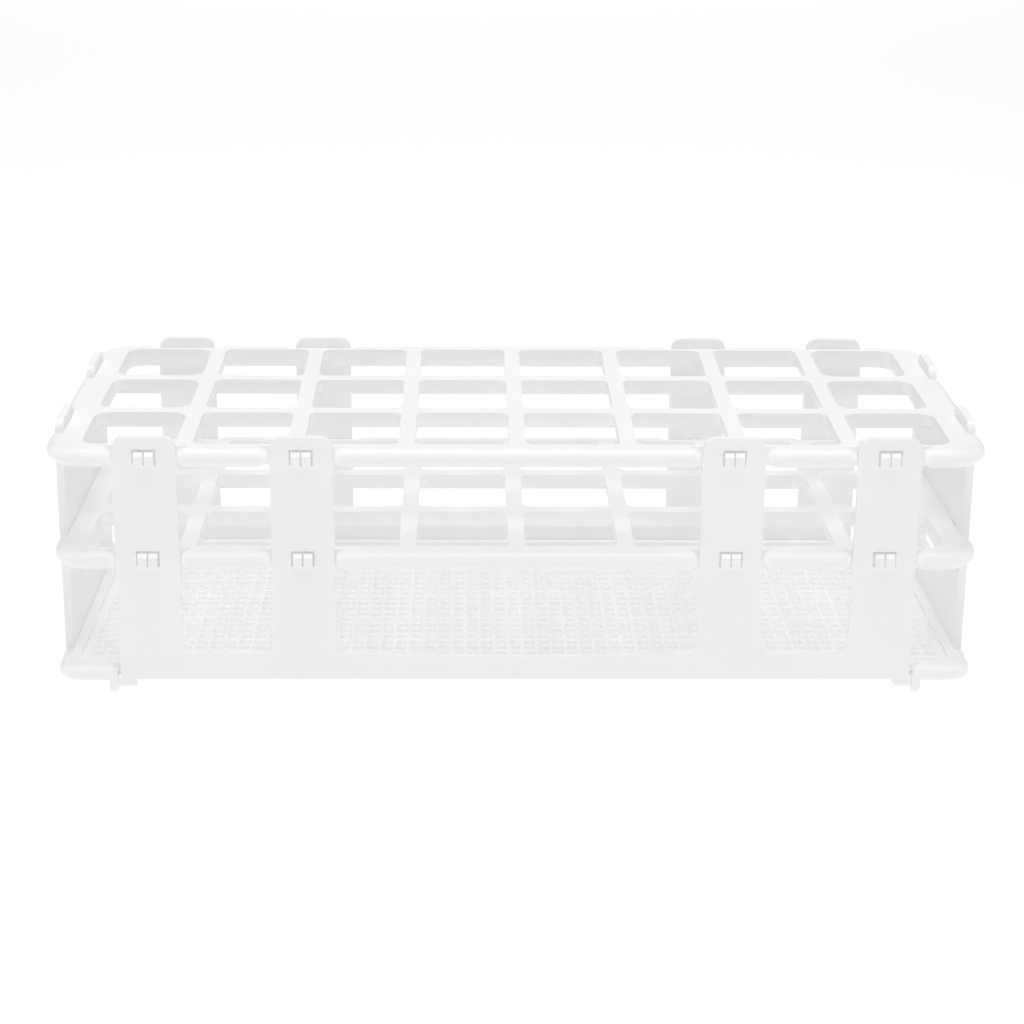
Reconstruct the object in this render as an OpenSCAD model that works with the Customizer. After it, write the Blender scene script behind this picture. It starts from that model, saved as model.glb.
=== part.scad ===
// Knock-down test tube rack: a perforated tray, two grid tiers and four hinged side panels.
// Millimetres. X runs along the rack, Y runs from front to back, Z is up, and the feet stand at Z = 0.

/* [Tube places] */
// Places along the rack
columns = 8; // [8:1:8]
// Rows of places, front to back
rows = 3; // [3:1:3]
// Distance between places along the rack
column_pitch = 29.4; // [29.2:0.1:29.5]
// Distance between rows
row_pitch = 34; // [33.5:0.25:34.5]
// Width of the thin bars that run front to back
cross_bar_w = 4.4; // [3.4:0.2:5]
// Width of the long bars that run along the rack
long_bar_w = 4.8; // [4:0.2:5.6]
// Depth of the thin bars
cross_bar_h = 3.2; // [2.4:0.2:4]
// Depth of the long bars
long_bar_h = 4.2; // [3.4:0.2:5]

/* [Levels] */
// Height of the feet below the tray
foot_h = 3.5; // [3.2:0.1:5]
// Gap between the panels' lower edges and the tray's underside, seen from the side
panel_lift = 0.8; // [0.5:0.1:1]
// Top of the middle tier above the feet's height
middle_level = 37.2; // [35:0.5:40]
// Top of the top tier above the feet's height
top_level = 66; // [64:0.5:72]
// Depth of a tier's rounded rail
tier_h = 5.2; // [4.8:0.2:5.6]
// Depth of the tray's rounded rail
tray_h = 4.5; // [4.2:0.1:5]
// Thickness of the tray's perforated floor
floor_t = 2; // [1.5:0.25:2.5]
// How far the tray's floor lies below the top of its rim
floor_drop = 1.2; // [0.8:0.1:1.4]
// How far the panel legs stand above the top tier
leg_rise = 2.9; // [2:0.1:4]

/* [Outline] */
// Half the length of the top tier
top_half_x = 125; // [124.6:0.1:126]
// Half the length of the middle tier
middle_half_x = 124.2; // [124:0.1:125]
// Half the length of the tray
tray_half_x = 124.1; // [123.6:0.1:124.4]
// Half the width of the top tier
top_half_y = 55; // [54.6:0.1:56]
// Half the width of the middle tier
middle_half_y = 54.6; // [54.4:0.1:55.4]
// Half the width of the tray
tray_half_y = 54.2; // [54:0.1:55]
// Radius of the tiers' corners, seen from above
corner_r = 11; // [8:0.5:14]
// Radius of the tray's corners, seen from above
tray_corner_r = 6.5; // [5:0.5:9]

/* [Front and back panels] */
// Distance from the middle of the rack to a panel's outer face
panel_y = 53.4; // [53.2:0.1:53.8]
// Panel thickness
panel_t = 2.2; // [1.8:0.1:2.4]
// Half the length of a panel
panel_half_x = 106.8; // [106.5:0.1:107]
// Middle of the outer legs
outer_leg_x = 98.3; // [98:0.1:98.5]
// Middle of the inner legs
inner_leg_x = 57.1; // [56:0.1:58]
// Leg width at the top
leg_w = 16.4; // [15:0.1:17]
// How much wider a leg is at its foot
leg_taper = 0.5; // [0:0.1:1]
// Height of the front panel's bottom bar above the tray's underside
bar_h = 8.2; // [7.5:0.1:9]
// Height of the back panel's bottom bar above the tray's underside
back_bar_h = 10.6; // [9:0.2:12]
// Dip of the middle window's lower edge
bar_bow = 1; // [0.5:0.1:1.5]

/* [End panels] */
// Distance from the middle of the rack to an end panel's outer face
end_x = 123.9; // [123.8:0.1:124.2]
// Half the width of an end panel
end_half_y = 38.4; // [38:0.1:39]
// Middle of an end panel's tabs
tab_y = 28; // [27:0.5:29]
// Tab width
tab_w = 18; // [16:0.5:19]
// Half the width of the end window
end_window_half_y = 19.8; // [16:0.2:20]
// Lower edge of the end window above the panel's foot
end_window_low = 16; // [12:0.5:20]
// Height of the end window
end_window_h = 17; // [14:0.5:19]

/* [Snap prongs] */
// Width of a snap hole
snap_hole_w = 6.3; // [5.8:0.1:7]
// Height of a snap hole
snap_hole_h = 4.5; // [4.4:0.1:5]
// Width of a pair of prongs
prong_w = 5.2; // [4.4:0.1:5.4]
// Height of a prong
prong_h = 3.7; // [3.2:0.1:3.7]
// Slit between two prongs
prong_slit = 0.5; // [0.3:0.1:0.8]
// How far a prong stands out of the panel
prong_out = 1.2; // [0.8:0.1:1.3]

/* [Hinge pegs] */
// Radius of a hinge peg
peg_r = 1.1; // [0.9:0.05:1.2]
// Running clearance around a peg
peg_gap = 0.05; // [0.02:0.01:0.1]
// Length of a peg
peg_l = 3.9; // [3:0.1:4.2]
// Outer radius of the panel's hinge eye
eye_r = 1.9; // [1.8:0.05:2]
// Length of the hinge eye
eye_l = 4.8; // [4.2:0.1:5]
// Height of the hinge axis
hinge_z = 3.2; // [2.8:0.1:3.3]
// Thickness of an ear
ear_t = 2.1; // [1.8:0.1:2.4]
// Gap between an ear and the end of its panel
ear_gap = 1.1; // [0.8:0.1:1.2]

/* [Hidden] */
$fn = 48;
plastic = [0.94, 0.94, 0.94];
over = 1;                          // how far a cutter runs past a face
face_gap = 0.25;                   // gap between a panel and the rail behind it
side_gap = 0.5;                    // gap between a leg and the rail ends beside it
fillet = 3;                        // round corners of the panels
cell_r = 2.5;                      // corners of an ordinary tube place
end_cell_r = 4.5;                  // corners of a tube place at the rack's ends
recess_y = panel_y - panel_t - face_gap;
recess_x = end_x - panel_t - face_gap;
cell_x = column_pitch - cross_bar_w;
cell_y = row_pitch - long_bar_w;
inner_half_x = column_pitch * columns / 2 - cross_bar_w / 2;
inner_half_y = 49.2;
middle_z = foot_h + middle_level;
top_z = foot_h + top_level;
tray_z = foot_h + tray_h;
floor_z = tray_z - floor_drop;
panel_foot = foot_h + panel_lift;
panel_top = top_z + leg_rise;
plate_top = top_z - tier_h - 0.6;  // top of the solid end plate, just under the top tier's rail
top_snap = top_z - 4.9;            // lower edges of the snap holes
middle_snap = middle_z - 4.3;
prong_lift = 0.15;                 // gap under a prong in its hole
hinge_y = recess_y - 0.05;
hinge_x = recess_x - 0.05;
ear_h = tray_z - 1;
ear_r = 2;
rim_half_x = 118.8;                // inner edge of the tray's rim
rim_half_y = 48.3;
pocket_half_x = 117.4;             // hollow underside of the tray's floor
pocket_half_y = 47.8;

// A rectangle with round corners, centred
module round_rect(half_x, half_y, r) {
    square([2 * half_x, 2 * (half_y - r)], center = true);
    square([2 * (half_x - r), 2 * half_y], center = true);
    for (sx = [-1, 1], sy = [-1, 1]) translate([sx * (half_x - r), sy * (half_y - r)]) circle(r);
}

// The flat middle of a frame, set back where legs and tabs pass.
// legs: places along X. tabs: places along Y. Each entry is [middle, half width of the passage].
module core_2d(half_x, half_y, r, corner, legs, tabs) {
    difference() {
        round_rect(half_x - r, half_y - r, corner - r);
        for (leg = legs, s = [-1, 1])
            translate([leg[0], s * (recess_y + half_y) / 2])
                square([2 * (leg[1] + r), half_y - recess_y], center = true);
        for (tab = tabs, s = [-1, 1])
            translate([s * (recess_x + half_x) / 2, tab[0]])
                square([half_x - recess_x, 2 * (tab[1] + r)], center = true);
    }
}

// A rounded rail along X with ball ends, from x = a to x = b
module rail_x(a, b, y, r) {
    translate([a + r, y, 0]) rotate([0, 90, 0]) cylinder(r = r, h = b - a - 2 * r);
    for (x = [a + r, b - r]) translate([x, y, 0]) sphere(r);
}

// A rounded rail along Y with ball ends, from y = a to y = b
module rail_y(a, b, x, r) {
    translate([x, a + r, 0]) rotate([-90, 0, 0]) cylinder(r = r, h = b - a - 2 * r);
    for (y = [a + r, b - r]) translate([x, y, 0]) sphere(r);
}

// The rounded rail around one corner: it ends at x = a on the front and at y = b on the end
module rail_corner(half_x, half_y, a, b, r, corner) {
    cx = half_x - corner;
    cy = half_y - corner;
    translate([cx, cy, 0]) rotate_extrude(angle = 90) translate([corner - r, 0]) circle(r);
    translate([a + r, half_y - r, 0]) rotate([0, 90, 0]) cylinder(r = r, h = cx - a - r);
    translate([a + r, half_y - r, 0]) sphere(r);
    translate([half_x - r, b + r, 0]) rotate([-90, 0, 0]) cylinder(r = r, h = cy - b - r);
    translate([half_x - r, b + r, 0]) sphere(r);
}

module four_corners() {
    for (sx = [0, 1], sy = [0, 1]) mirror([sx, 0, 0]) mirror([0, sy, 0]) children();
}

// The tube places of one tier, seen from above
module cells_2d() {
    for (i = [0 : columns - 1], j = [0 : rows - 1]) {
        at_end = i == 0 || i == columns - 1;
        x = (i - (columns - 1) / 2) * column_pitch;
        y_low = j == 0 ? -inner_half_y : (j - rows / 2) * row_pitch + long_bar_w / 2;
        y_high = j == rows - 1 ? inner_half_y : (j + 1 - rows / 2) * row_pitch - long_bar_w / 2;
        translate([x, (y_low + y_high) / 2])
            round_rect(cell_x / 2, (y_high - y_low) / 2, at_end ? end_cell_r : cell_r);
    }
}

// A split prong that points along +X, with its root on the plane x = 0
module prong(length) {
    tip = 0.9;
    for (s = [-1, 1])
        translate([0, s * (prong_w + prong_slit) / 4, 0]) rotate([90, 0, 0])
            linear_extrude((prong_w - prong_slit) / 2, center = true)
                polygon([[-over, 0], [length, 0], [length, prong_h - tip], [length - tip, prong_h], [-over, prong_h]]);
}

// The prongs of one level, through all four panels. low is the lower edge of the snap holes.
module prongs(low) {
    length = face_gap + panel_t + prong_out;
    for (x = [-outer_leg_x, -inner_leg_x, inner_leg_x, outer_leg_x], s = [0, 1])
        mirror([0, s, 0]) translate([x, recess_y, low + prong_lift]) rotate([0, 0, 90]) prong(length);
    for (y = [-tab_y, tab_y], s = [0, 1])
        mirror([s, 0, 0]) translate([recess_x, y, low + prong_lift]) prong(length);
}

// One tier: a rounded rail all round, long bars and thin bars.
// tab_gap is true where the rail stands out between an end panel's two tabs.
module tier(half_x, half_y, z_top, snap_low, tab_gap) {
    r = tier_h / 2;
    leg_half = leg_w / 2 + side_gap;
    tab_half = tab_w / 2 + side_gap;
    legs = [for (x = [-outer_leg_x, -inner_leg_x, inner_leg_x, outer_leg_x]) [x, leg_half]];
    tabs = tab_gap ? [[-tab_y, tab_half], [tab_y, tab_half]] : [[0, end_half_y + side_gap]];
    end_rail = tab_gap ? tab_y + tab_half : end_half_y + side_gap;
    // frame
    translate([0, 0, z_top - tier_h]) linear_extrude(tier_h) difference() {
        core_2d(half_x, half_y, r, corner_r, legs, tabs);
        round_rect(inner_half_x, inner_half_y, end_cell_r);
    }
    // thin bars, with the round corners of every place
    translate([0, 0, z_top - cross_bar_h]) linear_extrude(cross_bar_h) difference() {
        square([2 * inner_half_x + 2, 2 * inner_half_y + 2], center = true);
        cells_2d();
    }
    // long bars
    for (j = [1 : rows - 1])
        translate([-inner_half_x - 1, (j - rows / 2) * row_pitch - long_bar_w / 2, z_top - long_bar_h])
            cube([2 * inner_half_x + 2, long_bar_w, long_bar_h]);
    // rounded rails
    translate([0, 0, z_top - r]) {
        for (s = [-1, 1]) {
            y = s * (half_y - r);
            rail_x(-inner_leg_x + leg_half, inner_leg_x - leg_half, y, r);
            for (m = [0, 1]) mirror([m, 0, 0]) rail_x(inner_leg_x + leg_half, outer_leg_x - leg_half, y, r);
            if (tab_gap) rail_y(-tab_y + tab_half, tab_y - tab_half, s * (half_x - r), r);
        }
        four_corners() rail_corner(half_x, half_y, outer_leg_x + leg_half, end_rail, r, corner_r);
    }
    prongs(snap_low);
}

// An ear with its peg: its inner face is on x = 0 and the peg points along -X.
// Its hinge axis is at y = 0, and outward is +Y.
module ear() {
    width = 5.4;
    translate([0, -width / 2, 0]) rotate([90, 0, 90]) linear_extrude(ear_t) {
        translate([0, ear_r]) square([width, ear_h - ear_r]);
        translate([ear_r, 0]) square([width - 2 * ear_r, ear_h]);
        for (y = [ear_r, width - ear_r]) translate([y, ear_r]) circle(ear_r);
    }
    translate([-peg_l, 0, hinge_z]) rotate([0, 90, 0]) cylinder(r = peg_r, h = peg_l + over);
}

// The room for one hinge eye, beside an ear
module eye_relief() {
    translate([-eye_l - side_gap, 0, hinge_z]) rotate([0, 90, 0]) cylinder(r = eye_r + 0.4, h = eye_l + side_gap);
}

// Puts something beside each end of each panel, where the hinges are
module at_hinges() {
    for (sx = [0, 1], sy = [0, 1]) mirror([sx, 0, 0]) mirror([0, sy, 0]) {
        translate([panel_half_x + ear_gap, hinge_y, 0]) children();
        translate([hinge_x, end_half_y + ear_gap, 0]) mirror([1, -1, 0]) children();
    }
}

module base_tray() color(plastic) {
    r = tray_h / 2;
    bar_half = panel_half_x + ear_gap;
    end_half = end_half_y + ear_gap;
    difference() {
        union() {
            translate([0, 0, foot_h]) linear_extrude(tray_h)
                core_2d(tray_half_x, tray_half_y, r, tray_corner_r, [[0, bar_half]], [[0, end_half]]);
            translate([0, 0, foot_h + r])
                four_corners() rail_corner(tray_half_x, tray_half_y, bar_half, end_half, r, tray_corner_r);
        }
        translate([0, 0, floor_z]) linear_extrude(floor_drop + over) round_rect(rim_half_x, rim_half_y, fillet);
        translate([-pocket_half_x, -pocket_half_y, foot_h - over])
            cube([2 * pocket_half_x, 2 * pocket_half_y, floor_z - floor_t - foot_h + over]);
        at_hinges() eye_relief();
    }
    at_hinges() ear();
}

module middle_tier() color(plastic) tier(middle_half_x, middle_half_y, middle_z, middle_snap, false);

module top_tier() color(plastic) tier(top_half_x, top_half_y, top_z, top_snap, true);

// A window that opens upwards between two legs, in the panel's own plane: x across, y up.
// Its sides follow the legs' taper, and its lower corners are round.
module open_window(x_low, x_high, foot) {
    top = panel_top + over;
    lean = leg_taper / 2;
    polygon([[x_low + lean, foot + fillet], [x_high - lean, foot + fillet], [x_high, top], [x_low, top]]);
    translate([x_low + lean + fillet, foot]) square([x_high - x_low - 2 * (lean + fillet), 2 * fillet]);
    for (x = [x_low + lean + fillet, x_high - lean - fillet]) translate([x, foot + fillet]) circle(fillet);
}

// Rounds off the top corners of a leg or tab, centred on x = 0
module corner_cut(width) {
    for (s = [-1, 1]) translate([s * (width / 2 - fillet), panel_top - fillet]) difference() {
        translate([s > 0 ? 0 : -fillet - over, 0]) square([fillet + over, fillet + over]);
        circle(fillet);
    }
}

module snap_holes_2d(middles) {
    for (x = middles, low = [middle_snap, top_snap])
        translate([x - snap_hole_w / 2, low]) square([snap_hole_w, snap_hole_h]);
}

// Both hinge eyes of a panel whose ends are at x = -half and x = half: the eyes' ring, or their bores
module eyes(half, radius) {
    for (s = [0, 1]) mirror([s, 0, 0]) translate([half + ear_gap - 0.2 - eye_l, 0, hinge_z])
        rotate([0, 90, 0]) cylinder(r = radius, h = eye_l);
}

// Stands a flat outline up as a panel whose outer face is on y = face
module upright(face) {
    translate([0, face, 0]) rotate([90, 0, 0]) linear_extrude(panel_t) children();
}

// A long side panel, standing at +Y, with a bottom bar of the given height
module side_panel(bar) {
    edge = inner_leg_x - leg_w / 2;
    bow_r = (edge * edge + bar_bow * bar_bow) / (2 * bar_bow);
    difference() {
        union() {
            upright(panel_y) difference() {
                translate([-panel_half_x, panel_foot]) square([2 * panel_half_x, panel_top - panel_foot]);
                open_window(-edge, edge, foot_h + bar);
                intersection() {
                    translate([0, foot_h + bar - bar_bow + bow_r]) circle(bow_r, $fn = 720);
                    translate([-edge + fillet, foot_h]) square([2 * (edge - fillet), bar + fillet]);
                }
                for (m = [0, 1]) mirror([m, 0])
                    open_window(inner_leg_x + leg_w / 2, outer_leg_x - leg_w / 2, foot_h + bar);
                for (x = [-outer_leg_x, -inner_leg_x, inner_leg_x, outer_leg_x])
                    translate([x, 0]) corner_cut(leg_w);
                snap_holes_2d([-outer_leg_x, -inner_leg_x, inner_leg_x, outer_leg_x]);
            }
            translate([0, hinge_y, 0]) eyes(panel_half_x, eye_r);
        }
        translate([0, hinge_y, 0]) eyes(panel_half_x, peg_r + peg_gap);
    }
}

// An end panel, built standing at +Y and turned to its end
module end_panel() {
    rotate([0, 0, -90]) difference() {
        union() {
            upright(end_x) difference() {
                union() {
                    translate([-end_half_y, panel_foot]) square([2 * end_half_y, plate_top - panel_foot]);
                    for (x = [-tab_y, tab_y])
                        translate([x - tab_w / 2, panel_foot]) square([tab_w, panel_top - panel_foot]);
                }
                translate([0, foot_h + end_window_low + end_window_h / 2])
                    round_rect(end_window_half_y, end_window_h / 2, fillet);
                for (x = [-tab_y, tab_y]) translate([x, 0]) corner_cut(tab_w);
                snap_holes_2d([-tab_y, tab_y]);
            }
            translate([0, hinge_x, 0]) eyes(end_half_y, eye_r);
        }
        translate([0, hinge_x, 0]) eyes(end_half_y, peg_r + peg_gap);
    }
}

module back_panel() color(plastic) side_panel(back_bar_h);

module front_panel() color(plastic) mirror([0, 1, 0]) side_panel(bar_h);

module right_panel() color(plastic) end_panel();

module left_panel() color(plastic) mirror([1, 0, 0]) end_panel();

base_tray();
middle_tier();
top_tier();
front_panel();
back_panel();
left_panel();
right_panel();
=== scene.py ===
"""White knock-down test tube rack on a pale floor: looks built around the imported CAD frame."""

import math

import bmesh
import bpy
from mathutils import Matrix, Vector


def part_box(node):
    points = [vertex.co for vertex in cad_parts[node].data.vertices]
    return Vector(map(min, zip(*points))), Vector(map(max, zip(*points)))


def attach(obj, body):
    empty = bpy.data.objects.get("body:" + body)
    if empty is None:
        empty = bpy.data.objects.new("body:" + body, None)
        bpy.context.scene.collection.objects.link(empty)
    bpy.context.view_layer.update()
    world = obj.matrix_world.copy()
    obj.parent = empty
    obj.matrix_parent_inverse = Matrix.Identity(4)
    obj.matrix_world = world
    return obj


MM = 0.001

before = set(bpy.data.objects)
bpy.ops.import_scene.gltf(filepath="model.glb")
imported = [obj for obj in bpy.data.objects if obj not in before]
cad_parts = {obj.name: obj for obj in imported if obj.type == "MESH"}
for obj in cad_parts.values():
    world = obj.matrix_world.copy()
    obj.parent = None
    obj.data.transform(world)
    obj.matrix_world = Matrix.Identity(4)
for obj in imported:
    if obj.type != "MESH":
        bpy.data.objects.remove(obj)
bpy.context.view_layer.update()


# ---------- materials ----------

def link(tree, source, output, target, name):
    tree.links.new(source.outputs[output], target.inputs[name])


def moulded_plastic(name, tone, seed):
    """Satin white polypropylene: faint cloudy colour, uneven gloss and a fine grain."""
    material = bpy.data.materials.new(name)
    material.use_nodes = True
    tree = material.node_tree
    shader = tree.nodes["Principled BSDF"]
    shader.inputs["IOR"].default_value = 1.49
    shader.inputs["Subsurface Weight"].default_value = 0.12
    shader.inputs["Subsurface Radius"].default_value = (1.0, 1.0, 0.95)
    shader.inputs["Subsurface Scale"].default_value = 1.5 * MM

    place = tree.nodes.new("ShaderNodeTexCoord")
    shift = tree.nodes.new("ShaderNodeMapping")
    shift.inputs["Location"].default_value = (seed * 0.37, seed * 0.53, seed * 0.71)
    link(tree, place, "Object", shift, "Vector")

    cloud = tree.nodes.new("ShaderNodeTexNoise")
    cloud.inputs["Scale"].default_value = 22.0
    cloud.inputs["Detail"].default_value = 3.0
    link(tree, shift, "Vector", cloud, "Vector")
    ramp = tree.nodes.new("ShaderNodeValToRGB")
    low, high = ramp.color_ramp.elements
    low.position, high.position = 0.3, 0.7
    low.color = (tone * 0.975, tone * 0.978, tone * 0.985, 1.0)
    high.color = (tone, tone, tone, 1.0)
    link(tree, cloud, "Fac", ramp, "Fac")
    link(tree, ramp, "Color", shader, "Base Color")

    flow = tree.nodes.new("ShaderNodeTexNoise")
    flow.inputs["Scale"].default_value = 70.0
    flow.inputs["Detail"].default_value = 4.0
    link(tree, shift, "Vector", flow, "Vector")
    gloss = tree.nodes.new("ShaderNodeMapRange")
    gloss.inputs["To Min"].default_value = 0.30
    gloss.inputs["To Max"].default_value = 0.46
    link(tree, flow, "Fac", gloss, "Value")
    link(tree, gloss, "Result", shader, "Roughness")

    grain = tree.nodes.new("ShaderNodeTexNoise")
    grain.inputs["Scale"].default_value = 1400.0
    grain.inputs["Detail"].default_value = 2.0
    link(tree, shift, "Vector", grain, "Vector")
    skin = tree.nodes.new("ShaderNodeBump")
    skin.inputs["Strength"].default_value = 0.10
    skin.inputs["Distance"].default_value = 0.1 * MM
    link(tree, grain, "Fac", skin, "Height")
    wave = tree.nodes.new("ShaderNodeBump")
    wave.inputs["Strength"].default_value = 0.12
    wave.inputs["Distance"].default_value = 0.3 * MM
    link(tree, cloud, "Fac", wave, "Height")
    link(tree, wave, "Normal", skin, "Normal")
    link(tree, skin, "Normal", shader, "Normal")
    return material


def floor_paint(name, tone, glow):
    """A pale table that gives most of its own brightness, so the shadow under the rack stays light."""
    material = bpy.data.materials.new(name)
    material.use_nodes = True
    shader = material.node_tree.nodes["Principled BSDF"]
    shader.inputs["Base Color"].default_value = (tone, tone, tone, 1.0)
    shader.inputs["Roughness"].default_value = 0.9
    shader.inputs["Specular IOR Level"].default_value = 0.1
    shader.inputs["Emission Color"].default_value = (1.0, 1.0, 1.0, 1.0)
    shader.inputs["Emission Strength"].default_value = glow
    return material


# ---------- meshes ----------

def new_object(name, mesh):
    piece = bpy.data.objects.new(name, mesh)
    bpy.context.scene.collection.objects.link(piece)
    return piece


def object_from_bmesh(name, bm):
    bmesh.ops.recalc_face_normals(bm, faces=bm.faces)
    mesh = bpy.data.meshes.new(name)
    bm.to_mesh(mesh)
    bm.free()
    return new_object(name, mesh)


def finish_edges(piece, width, segments=3):
    """Joins the imported corners and rounds the moulded edges."""
    weld = piece.modifiers.new("joined_corners", "WELD")
    weld.merge_threshold = 0.002 * MM
    bevel = piece.modifiers.new("round_edges", "BEVEL")
    bevel.width = width
    bevel.segments = segments
    bevel.limit_method = "ANGLE"
    bevel.angle_limit = math.radians(38)
    bevel.use_clamp_overlap = True
    bevel.miter_outer = "MITER_ARC"


def soften(piece):
    for polygon in piece.data.polygons:
        polygon.use_smooth = True
    normals = piece.modifiers.new("even_shading", "WEIGHTED_NORMAL")
    normals.keep_sharp = True
    normals.weight = 60


# ---------- perforated floor ----------

HOLE = 2.7 * MM
HOLE_PITCH_X = 3.955 * MM
HOLE_PITCH_Y = 4.33 * MM
HOLES_X = 59
HOLES_Y = 22
FLOOR_TOP = 6.8 * MM
CUT_DEPTH = 2.6 * MM
CUT_RISE = 0.6 * MM
FUNNEL_DEPTH = 0.25 * MM
FUNNEL_SPREAD = 0.8 * FUNNEL_DEPTH
LEAN_AT_BOTTOM = 0.1 * MM
LEAN_AT_FUNNEL = 0.05 * MM


def hole_cutter(name, top, bottom):
    """Every hole of the tray floor as one mesh of square prisms that flare a little at the top."""
    bm = bmesh.new()
    levels = [
        (bottom, HOLE / 2 - LEAN_AT_BOTTOM),
        (top - FUNNEL_DEPTH, HOLE / 2 - LEAN_AT_FUNNEL),
        (top, HOLE / 2 + FUNNEL_SPREAD),
        (top + CUT_RISE, HOLE / 2 + FUNNEL_SPREAD),
    ]
    for i in range(HOLES_X):
        for j in range(HOLES_Y):
            x = (i - (HOLES_X - 1) / 2) * HOLE_PITCH_X
            y = (j - (HOLES_Y - 1) / 2) * HOLE_PITCH_Y
            rings = []
            for z, half in levels:
                rings.append([
                    bm.verts.new((x + sx * half, y + sy * half, z))
                    for sx, sy in ((-1, -1), (1, -1), (1, 1), (-1, 1))
                ])
            for low, high in zip(rings, rings[1:]):
                for k in range(4):
                    bm.faces.new((low[k], low[(k + 1) % 4], high[(k + 1) % 4], high[k]))
            bm.faces.new(list(reversed(rings[0])))
            bm.faces.new(rings[-1])
    cutter = object_from_bmesh(name, bm)
    cutter.hide_render = True
    cutter.hide_viewport = True
    return cutter


def perforate(tray):
    cutter = hole_cutter("floor_holes", FLOOR_TOP, FLOOR_TOP - CUT_DEPTH)
    cut = tray.modifiers.new("perforation", "BOOLEAN")
    cut.operation = "DIFFERENCE"
    cut.solver = "MANIFOLD"
    cut.object = cutter


# ---------- small moulding marks ----------

def lathe(name, profile, centre, axis, steps=40):
    """Turns a profile of (radius, height) points about axis, through centre."""
    bm = bmesh.new()
    rings = []
    for radius, height in profile:
        if radius == 0:
            rings.append([bm.verts.new((0, 0, height))])
        else:
            rings.append([
                bm.verts.new((radius * math.cos(a), radius * math.sin(a), height))
                for a in (2 * math.pi * k / steps for k in range(steps))
            ])
    for low, high in zip(rings, rings[1:]):
        for k in range(steps):
            n = (k + 1) % steps
            if len(low) == 1:
                bm.faces.new((low[0], high[n], high[k]))
            elif len(high) == 1:
                bm.faces.new((low[k], low[n], high[0]))
            else:
                bm.faces.new((low[k], low[n], high[n], high[k]))
    turn = Vector(axis).to_track_quat("Z", "Y").to_matrix().to_4x4()
    bmesh.ops.transform(bm, matrix=Matrix.Translation(centre) @ turn, verts=bm.verts)
    piece = object_from_bmesh(name, bm)
    for polygon in piece.data.polygons:
        polygon.use_smooth = True
    return piece


def gate_mark(name, centre, axis):
    """The small ringed pip where the plastic entered the mould."""
    profile_mm = [
        (0, -0.2), (1.5, -0.2), (1.5, 0.02), (1.35, 0.08), (1.0, 0.08),
        (0.85, 0.02), (0.5, 0.03), (0.35, 0.2), (0, 0.24),
    ]
    profile = [(radius * MM, height * MM) for radius, height in profile_mm]
    return lathe(name, profile, centre, axis)


# ---------- the rack ----------

PLASTIC_TONE = 0.88
GATE_MARK_RISE = 4.9 * MM
EDGE_WIDTH = {
    "base_tray": 0.4 * MM, "middle_tier": 0.8 * MM, "top_tier": 0.8 * MM,
    "front_panel": 0.9 * MM, "back_panel": 0.9 * MM, "left_panel": 0.9 * MM, "right_panel": 0.9 * MM,
}


def dress_nodes():
    for seed, (node, width) in enumerate(EDGE_WIDTH.items(), start=1):
        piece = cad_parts[node]
        material = moulded_plastic("plastic_" + node, PLASTIC_TONE, seed)
        piece.data.materials.clear()
        piece.data.materials.append(material)
        finish_edges(piece, width)
        if node == "base_tray":
            perforate(piece)
        soften(piece)


def add_gate_marks():
    for node, body, side in (("front_panel", "front", -1), ("back_panel", "back", 1)):
        low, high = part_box(node)
        face = low.y if side < 0 else high.y
        mark = gate_mark("gate_mark_" + body, Vector((0, face, low.z + GATE_MARK_RISE)), (0, side, 0))
        mark.data.materials.append(bpy.data.materials["plastic_" + node])
        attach(mark, body)


# ---------- stage, light and camera ----------

FLOOR_SIZE = 8.0
FLOOR_TONE = 0.32
FLOOR_GLOW = 0.72
WORLD_LIGHT = 0.3
AIM = (0, 0, 0.03)
CAMERA_PLACE = (-0.01398, -0.65089, 0.25247)
CAMERA_YAW, CAMERA_PITCH, CAMERA_ROLL = 1.195, 18.54, 0.449
CAMERA_LENS = 83.65


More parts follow.
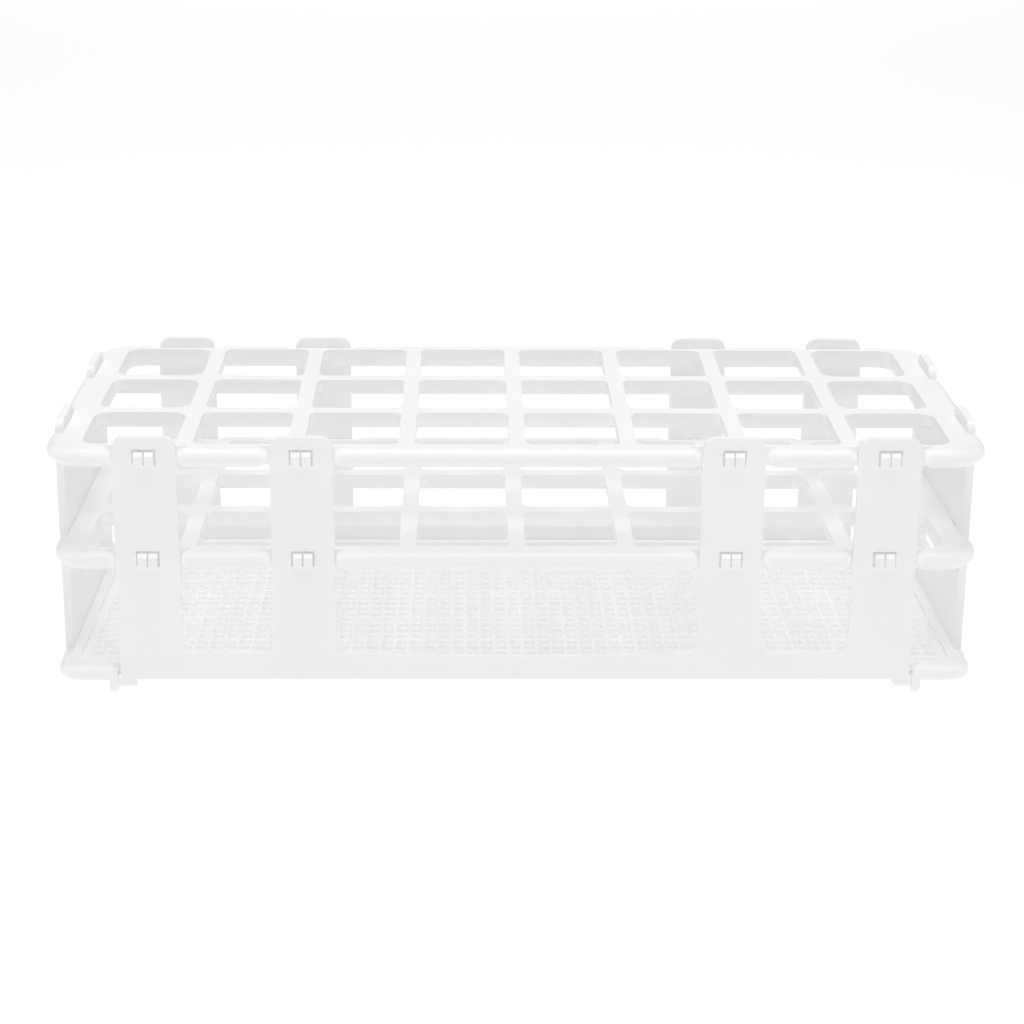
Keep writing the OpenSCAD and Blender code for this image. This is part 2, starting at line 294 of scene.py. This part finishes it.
def add_floor():
    bm = bmesh.new()
    bmesh.ops.create_grid(bm, x_segments=1, y_segments=1, size=FLOOR_SIZE)
    floor = object_from_bmesh("floor", bm)
    floor.data.materials.append(floor_paint("pale_floor", FLOOR_TONE, FLOOR_GLOW))


def add_light(name, place, target, size, watts, casts_shadow=True):
    """A soft square light. Without shadows it stands in for the light that white walls throw everywhere."""
    light = bpy.data.lights.new(name, "AREA")
    light.shape = "SQUARE"
    light.size = size
    light.energy = watts
    light.use_shadow = casts_shadow
    lamp = new_object(name, light)
    lamp.location = place
    lamp.rotation_euler = (Vector(target) - Vector(place)).to_track_quat("-Z", "Y").to_euler()


def add_lights():
    world = bpy.data.worlds.new("studio")
    world.use_nodes = True
    background = world.node_tree.nodes["Background"]
    background.inputs["Color"].default_value = (1, 1, 1, 1)
    background.inputs["Strength"].default_value = WORLD_LIGHT
    bpy.context.scene.world = world
    add_light("overhead_softbox", (0.0, -0.2, 1.4), AIM, 1.2, 11.0)
    add_light("top_fill", (0.0, 0.0, 1.6), AIM, 1.4, 3.0, casts_shadow=False)
    add_light("front_fill", (0.0, -1.8, 0.5), AIM, 1.4, 6.0, casts_shadow=False)
    add_light("back_fill", (0.0, 1.8, 0.5), AIM, 1.4, 5.0, casts_shadow=False)
    add_light("left_fill", (-1.6, -0.2, 0.5), AIM, 1.2, 6.0, casts_shadow=False)
    add_light("right_fill", (1.6, -0.2, 0.5), AIM, 1.2, 6.0, casts_shadow=False)


def add_camera():
    yaw, pitch, roll = (math.radians(angle) for angle in (CAMERA_YAW, CAMERA_PITCH, CAMERA_ROLL))
    camera = new_object("camera", bpy.data.cameras.new("camera"))
    camera.data.lens = CAMERA_LENS
    camera.data.clip_start = 0.01
    turn = Matrix.Rotation(-yaw, 4, "Z") @ Matrix.Rotation(math.pi / 2 - pitch, 4, "X")
    turn = turn @ Matrix.Rotation(roll, 4, "Z")
    camera.matrix_world = Matrix.Translation(CAMERA_PLACE) @ turn
    bpy.context.scene.camera = camera


add_camera()
add_lights()
add_floor()
dress_nodes()
add_gate_marks()
bpy.context.scene.view_settings.view_transform = "Standard"
bpy.context.scene.view_settings.look = "None"
